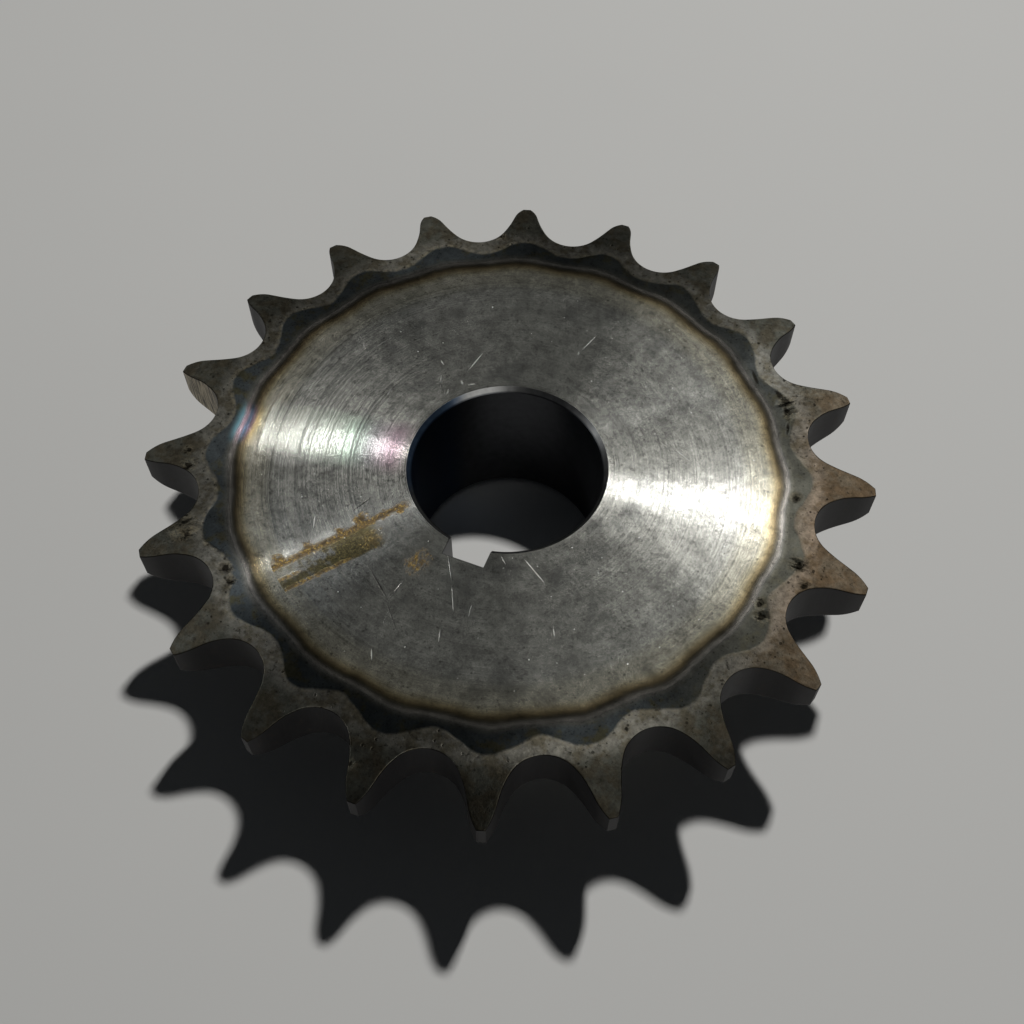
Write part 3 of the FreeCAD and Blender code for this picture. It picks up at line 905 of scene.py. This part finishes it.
def rim_steel():
    """The hardened rim: a ring of temper colours, dark arches, and scale on the teeth, with painted
    light and shade by side and a painted sheen on the left.
    """
    f = Finish("rim_steel", Metallic=1.0, Anisotropic=1.0, Anisotropic_Rotation=0.25)
    f.turned()
    mottle = f.noise(0.9, 5.0, 0.68)
    grain = f.noise(3.2, 4.0, 0.7)
    face = f.tinted(ground_steel(f, mottle, grain), linear(255, 251, 240), 1.0)
    from_line = (f.radius - TEMPER_LINE - (f.angle * TEETH).cos() * 0.25
                 - (f.noise(0.22, 3.0, 0.55) - 0.5) * 0.9)
    temper = f.ramp(from_line, -2.4, 5.0, [
        (-2.4, (255, 255, 255)), (-1.7, (252, 249, 240)), (-1.2, (238, 229, 208)),
        (-0.8, (212, 198, 170)), (-0.4, (162, 148, 124)), (-0.1, (120, 112, 98)),
        (0.25, (112, 110, 108)), (0.5, (148, 146, 150)), (0.8, (180, 178, 185)),
        (1.15, (132, 134, 139)), (1.7, (110, 113, 117)), (4.5, (105, 109, 113))])
    arch_tint = f.noise(0.35, 4.0, 0.65)
    arch_tint = f.mix(arch_tint.smooth(0.50, 0.64), linear(226, 238, 255), linear(244, 236, 204))
    temper = f.tinted(temper, arch_tint, from_line.smooth(1.2, 2.2))
    # Painted light: the ring and the arches are lighter on the right, where the light falls.
    ring_painted_light = (f.x * 0.82 + f.y * 0.57).smooth(12.0, 36.0) * 0.18 + f.x.smooth(30.0, 41.0) * 0.4
    temper = f.mix(ring_painted_light * from_line.smooth(1.0, 1.7), temper, linear(172, 172, 166))
    face = f.tinted(face, temper, 1.0)
    # Painted sheen: iridescent colours over the ring, in the strip of the highlight on the left.
    painted_sheen = f.ramp(from_line, -2.0, 3.0, [
        (-2.0, (255, 248, 218)), (-1.1, (255, 228, 158)), (-0.4, (186, 150, 172)),
        (0.2, (120, 160, 196)), (0.8, (226, 184, 200)), (1.5, (138, 196, 216)),
        (3.0, (116, 150, 160))])
    painted_shine_strip = f.x.smooth(-36.5, -38.5) * off_shine(f).smooth(4.5, 1.0)
    face = f.mix(painted_shine_strip * from_line.smooth(2.6, 1.2) * 0.5, face, painted_sheen)

    into_arch = (ARCH_LINE + (f.angle * TEETH).cos() * 1.35 - f.radius
                 - (f.noise(0.22, 3.0, 0.5) - 0.5) * 1.4)
    beyond_ring = from_line.smooth(1.1, 1.7)
    on_scale = into_arch.smooth(0.25, -0.35) * beyond_ring
    rim = into_arch.peak(-0.35, 0.55) * f.radius.smooth(47.6, 46.6) * beyond_ring

    patches = f.noise(0.33, 4.0, 0.65, f.vector(f.x, f.y, 9.0))
    specked = f.noise(1.3, 4.0, 0.7, f.vector(f.x, f.y, 14.0))
    band = f.mix(patches.smooth(0.44, 0.62), linear(150, 147, 139), linear(122, 116, 102))
    tooth = f.mix(patches.smooth(0.40, 0.60), linear(110, 110, 102), linear(102, 96, 83))
    tooth = f.mix(specked.smooth(0.56, 0.70) * 0.4, tooth, linear(128, 122, 106))
    scale = f.mix(f.radius.smooth(45.4, 48.0), band, tooth)
    # Painted light and shade on the scale: darker on the left and on the lower right, lighter and
    # warmer on the right, by where the light falls.
    painted_shade_left = (f.y * 0.2 - f.x * 0.98).smooth(-5.0, 30.0)
    painted_shade_lower_right = (f.x * 0.5 - f.y * 0.866).smooth(44.0, 50.0)
    painted_light_right = (f.x * 0.996 + f.y * 0.087).smooth(36.0, 48.0)
    painted_light_and_shade = (1 - painted_shade_left * 0.45 - painted_shade_lower_right * 0.62) * (1 + painted_light_right * 0.8)
    scale = f.shaded(scale, (mottle * 1.9 + grain * 0.9 - 0.4) * painted_light_and_shade)
    scale = f.tinted(scale, linear(255, 232, 216), painted_light_right)
    scale = f.mix(specked.smooth(0.44, 0.30) * 0.75, scale, linear(46, 43, 37))
    colour = f.mix(on_scale, face, scale)
    colour = f.mix(rim * specked.smooth(0.44, 0.60) * 0.4, colour, linear(160, 152, 132))

    on_top = f.z.smooth(*TEETH_BAND)
    fine_pits = f.spots(0.7, 0.30, 0.30, 21.0) * on_scale * f.radius.smooth(50.5, 48.5)
    pits, crust = fine_pits * 0.8, None
    for x, y, size, rise in CRATERS:
        away = f.from_point(x, y) + (specked - 0.5) * size * 2.4
        pits = pits.at_least(away.smooth(size * 1.05, size * 0.55) * on_top
                             * (1.0 if rise < 0 else 0.25))
        spill = away.smooth(size * 2.8, size * 1.2) * on_top
        crust = spill if crust is None else crust.at_least(spill)
    crust = crust * grain.smooth(0.36, 0.6)
    cracks = strokes(f, CRACKS) * on_top * specked.smooth(0.36, 0.5)
    colour = f.mix(crust * 0.35, colour, linear(146, 135, 112))
    colour = f.mix(pits.at_least(cracks) * 0.9, colour, linear(34, 31, 26))
    edge_break = f.normal_z().smooth(0.95, 0.75) * f.radius.smooth(40.0, 44.0)
    f.set("Base Color", f.mix(edge_break * 0.95, colour, linear(34, 32, 29)))
    burnt = from_line.smooth(0.6, 2.0)
    f.set("Roughness", 0.19 + (mottle - 0.5) * 0.04 + (grain - 0.5) * 0.03 + burnt * 0.24
          + on_scale * 0.14)
    f.bump(on_scale * (mottle * 2.2 + grain * 1.2) + crust * grain - fine_pits * 2.0
           - cracks * 2.0, 0.03, 0.5, f.grooved((1 - burnt) * GROOVE_TILT))
    return f.material


def cut_steel():
    """The walls between the teeth: dark with black scale and with painted shade between the teeth,
    fairly smooth, with faint marks along the cut, and a painted highlight on one wall on the left.
    """
    f = Finish("cut_steel", Metallic=0.35, Specular_IOR_Level=0.3)
    mottle = f.noise(0.8, 4.0, 0.6)
    grain = f.noise(4.0, 3.0, 0.6)
    streak = f.noise(1.0, 3.0, 0.6, f.vector(f.x * 5.0, f.y * 5.0, f.z * 0.25))
    # Dark: black scale, darkened further as painted shade between the teeth.
    colour = f.shaded(linear(38, 37, 38), 0.25 + mottle * 0.6 + streak * 0.6 + grain * 0.3)
    worn = mottle.smooth(0.56, 0.72)
    colour = f.mix(worn * 0.4, colour, linear(60, 52, 42))
    # Painted highlight: one wall between teeth on the left is painted lighter, with streaks.
    painted_glint_wall = f.x.smooth(-46.5, -48.0) * f.y.smooth(-9.0, -7.0) * f.y.smooth(1.0, -1.0)
    painted_glint_wall = painted_glint_wall * streak.smooth(0.35, 0.6)
    colour = f.mix(painted_glint_wall * 0.8, colour, linear(196, 184, 160))
    f.set("Base Color", colour)
    f.set("Roughness", 0.42 + mottle * 0.16 + grain * 0.10)
    f.bump(streak * 0.7 + grain * 0.3, 0.02, 0.5)
    return f.material


def bored_steel():
    """The bore, its keyway and their edges: turned round the axis, the wall dark with a film of oil
    and painted shade, and the left side with a painted blue reflection.
    """
    f = Finish("bored_steel", Metallic=1.0, Anisotropic=0.6, Anisotropic_Rotation=0.25)
    f.turned()
    mottle = f.noise(0.8, 4.0, 0.6)
    on_wall = f.radius.smooth(BORE_RADIUS / MM + 0.25, BORE_RADIUS / MM + 0.05)
    # Painted shade: the bore's wall is painted dark for the shade inside the bore.
    wall_painted_shade = f.shaded(linear(66, 67, 70), 0.6 + mottle * 0.7)
    edge = f.shaded(linear(128, 128, 128), 0.5 + mottle * 0.8)
    colour = f.mix(on_wall, edge, wall_painted_shade)
    # Painted reflection: the left side of the bore and its chamfer is tinted blue.
    f.set("Base Color", f.tinted(colour, linear(168, 206, 255), f.x.smooth(-10.5, -13.0)))
    f.set("Roughness", 0.30 + mottle * 0.12)
    f.bump(tool_marks(f, f.z, 0.2), 0.02, 0.5)
    return f.material


def hub_steel():
    f = Finish("hub_steel", Metallic=1.0, Anisotropic=0.8, Anisotropic_Rotation=0.25)
    f.turned()
    mottle = f.noise(0.8, 4.0, 0.6)
    grain = f.noise(6.0, 3.0, 0.6)
    colour = f.shaded(STEEL, 0.6 + mottle * 0.45 + grain * 0.2)
    near_weld = f.z + (f.noise(0.3) - 0.5) * 1.5
    outside = f.radius.smooth(34.0, 35.5)
    straw = near_weld.smooth(8.5, 10.6) * outside
    blue = near_weld.smooth(10.4, 11.8) * outside
    colour = f.mix(straw * 0.75, colour, linear(158, 132, 88))
    colour = f.mix(blue * 0.8, colour, linear(70, 78, 104))
    f.set("Base Color", colour)
    f.set("Roughness", 0.30 + mottle * 0.12)
    side_marks = tool_marks(f, f.z, 0.2)
    end_marks = tool_marks(f, f.radius, 0.25)
    on_end = f.z.smooth(0.6, 0.1)
    f.bump(side_marks * (1 - on_end) + end_marks * on_end, 0.03, 0.5)
    return f.material


def weld_metal():
    f = Finish("weld_metal", Metallic=1.0)
    mottle = f.noise(1.2, 4.0, 0.6)
    tint = f.noise(0.5, 2.0, 0.5)
    colour = f.mix(tint.smooth(0.35, 0.65), linear(96, 92, 88), linear(82, 84, 98))
    colour = f.mix(mottle.smooth(0.6, 0.75) * 0.6, colour, linear(120, 92, 58))
    f.set("Base Color", f.shaded(colour, 0.6 + mottle * 0.8))
    f.set("Roughness", 0.36 + mottle * 0.2)
    f.bump(f.noise(4.0, 4.0, 0.6), 0.03, 0.5)
    return f.material


def black_oxide():
    f = Finish("black_oxide", Metallic=1.0)
    mottle = f.noise(2.5, 4.0, 0.6)
    colour = f.shaded(linear(62, 62, 66), 0.6 + mottle * 0.7)
    f.set("Base Color", colour)
    f.set("Roughness", 0.34 + mottle * 0.16)
    f.bump(f.noise(9.0, 3.0, 0.6), 0.015, 0.5)
    return f.material


def floor_paint():
    f = Finish("pale_floor", Specular_IOR_Level=0.3)
    cloud = f.noise(0.01, 3.0, 0.5)
    f.set("Base Color", f.mix(cloud, linear(206, 206, 204), linear(212, 212, 210)))
    f.set("Roughness", 0.6 + cloud * 0.1)
    return f.material


# ---------------------------------------------------------------- stage

def aim(thing, place, target):
    thing.location = place
    thing.rotation_euler = (Vector(target) - Vector(place)).to_track_quat("-Z", "Y").to_euler()


def camera():
    """The camera, where the photographer held it."""
    data = bpy.data.cameras.new("camera")
    data.lens = 45.63
    data.sensor_width = 36.0
    data.clip_start = 0.005
    data.clip_end = 20.0
    thing = bpy.data.objects.new("camera", data)
    bpy.context.scene.collection.objects.link(thing)
    azimuth, elevation = math.radians(21.45), math.radians(57.85)
    distance = 188.7 * MM
    target = Vector((3.58 * MM, -7.19 * MM, PLATE_TOP))
    back = Vector((math.sin(azimuth) * math.cos(elevation),
                   -math.cos(azimuth) * math.cos(elevation), math.sin(elevation)))
    aim(thing, target + back * distance, target)
    bpy.context.scene.camera = thing


def softbox(name, azimuth, elevation, spread, strength, colour, lit):
    """A soft square light, as wide as an angle in degrees, that lights one collection.

    Its azimuth is in degrees clockwise from +Y seen from above, and its strength is the
    irradiance that it gives in watts per square metre.
    """
    distance = 1.2
    turn, rise = math.radians(azimuth), math.radians(elevation)
    direction = Vector((math.sin(turn) * math.cos(rise), math.cos(turn) * math.cos(rise),
                        math.sin(rise)))
    data = bpy.data.lights.new(name, "AREA")
    data.shape = "SQUARE"
    data.size = 2 * distance * math.tan(math.radians(spread) / 2)
    data.energy = strength * math.pi * distance ** 2
    data.color = colour
    thing = bpy.data.objects.new(name, data)
    bpy.context.scene.collection.objects.link(thing)
    target = Vector((0, 0, HUB_HIGH.z))
    aim(thing, target + direction * distance, target)
    thing.light_linking.receiver_collection = lit


def stage():
    """A pale floor, and soft lights for it and for the object."""
    bpy.context.scene.view_settings.view_transform = "Standard"
    half = 3.0
    floor = add_object("floor", [(-half, -half, 0), (half, -half, 0), (half, half, 0),
                                 (-half, half, 0)], [(0, 1, 2, 3)])
    floor.data.materials.append(floor_paint())
    world = bpy.data.worlds.new("studio")
    bpy.context.scene.world = world
    world.use_nodes = True
    background = world.node_tree.nodes["Background"]
    background.inputs["Color"].default_value = (0.85, 0.92, 1.0, 1.0)
    background.inputs["Strength"].default_value = 0.02
    on_floor = bpy.data.collections.new("floor")
    on_floor.objects.link(floor)
    on_object = bpy.data.collections.new("object")
    for collection in (on_floor, on_object):
        bpy.context.scene.collection.children.link(collection)
    softbox("floor_key", 4.6, 62.3, 3.5, 2.1, (1.0, 0.99, 0.97), on_floor)
    for light in OBJECT_LIGHTS:
        softbox(*light, on_object)
    return on_object


# ---------------------------------------------------------------- the object

def dress(piece, node, body, slot, *materials):
    OBJECT.objects.link(piece)
    for material in materials:
        piece.data.materials.append(material)
    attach(piece, body)
    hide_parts(node)


camera()
OBJECT = stage()
bored = bored_steel()
dress(toothed_plate(), "toothed_plate", "sprocket", "plate_steel", face_steel(), rim_steel(),
      bored, cut_steel())
dress(hub(), "hub", "sprocket", "hub_steel", hub_steel(), bored)
dress(weld_bead(), "weld_bead", "sprocket", "weld_metal", weld_metal())
oxide = black_oxide()
for screw, body in zip(set_screws(), ("key_screw", "side_screw")):
    dress(screw, screw.name.replace("_visual", ""), body, "black_screw", oxide)
